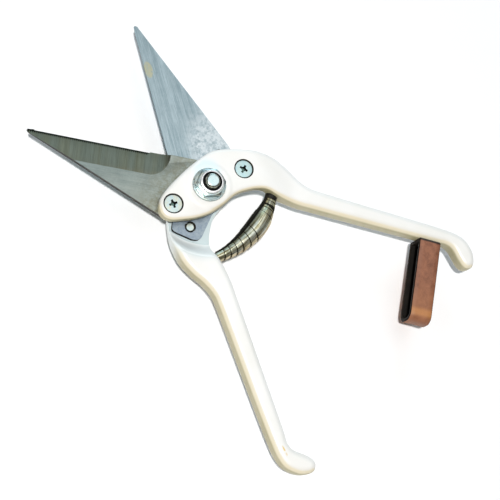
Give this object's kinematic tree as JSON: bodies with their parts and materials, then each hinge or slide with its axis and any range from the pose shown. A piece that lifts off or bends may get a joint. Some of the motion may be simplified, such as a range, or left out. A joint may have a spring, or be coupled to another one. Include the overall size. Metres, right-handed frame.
{
  "type": "floral snips",
  "caption": "Spring-loaded hand snips with cranked enamelled handles, a toothed and a plain screwed-on blade, a volute spring and a leather closing strap.",
  "frame": {"origin": "on the pivot axis, at the outer flat face of the pivot bolt's head", "axes": "+Z along the pivot axis from the bolt head to the nut, +Y towards the blade tips midway between the open blades, +X towards the front handle's grip"},
  "size_m": [0.1532, 0.2072, 0.0315],
  "materials": {
    "enamel": "gloss",
    "ground_steel": "satin",
    "polished_steel": "satin",
    "zinc_plate": "gloss",
    "spring_steel": "satin",
    "nylon": "matte",
    "leather": "matte",
    "copper_rivet": "satin"
  },
  "bodies": {
    "front_half": {"front_handle": "enamel", "serrated_blade": "ground_steel", "front_nose_screw": "zinc_plate", "front_tail_screw": "zinc_plate", "front_spring_peg": "zinc_plate", "pivot_bolt": "zinc_plate", "front_pivot_washer": "zinc_plate", "rear_pivot_washer": "zinc_plate", "lock_nut": "zinc_plate", "lock_nut_insert": "nylon", "volute_spring": "spring_steel", "strap_rivet": "copper_rivet"},
    "rear_half": {"rear_handle": "enamel", "plain_blade": "polished_steel", "rear_nose_screw": "zinc_plate", "rear_tail_screw": "zinc_plate", "rear_spring_peg": "zinc_plate"},
    "strap": {"leather_strap": "leather"}
  },
  "joints": [
    {"name": "pivot", "type": "hinge", "parent": "front_half", "child": "rear_half", "pos_m": [0, 0, 0.0153], "axis": [0, 0, 1], "range_deg": [0, 54], "stiffness_Nm_per_rad": 2, "deforming": ["volute_spring"]},
    {"name": "strap_swing", "type": "hinge", "parent": "front_half", "child": "strap", "pos_m": [0.0558, -0.10354, 0.0153], "axis": [-0.4981, 0.8671, 0], "range_deg": [0, 82], "deforming": ["leather_strap"]}
  ],
  "couplings": [
    {"joint": "strap_swing", "follows": "pivot", "ratio": 1.5}
  ]
}
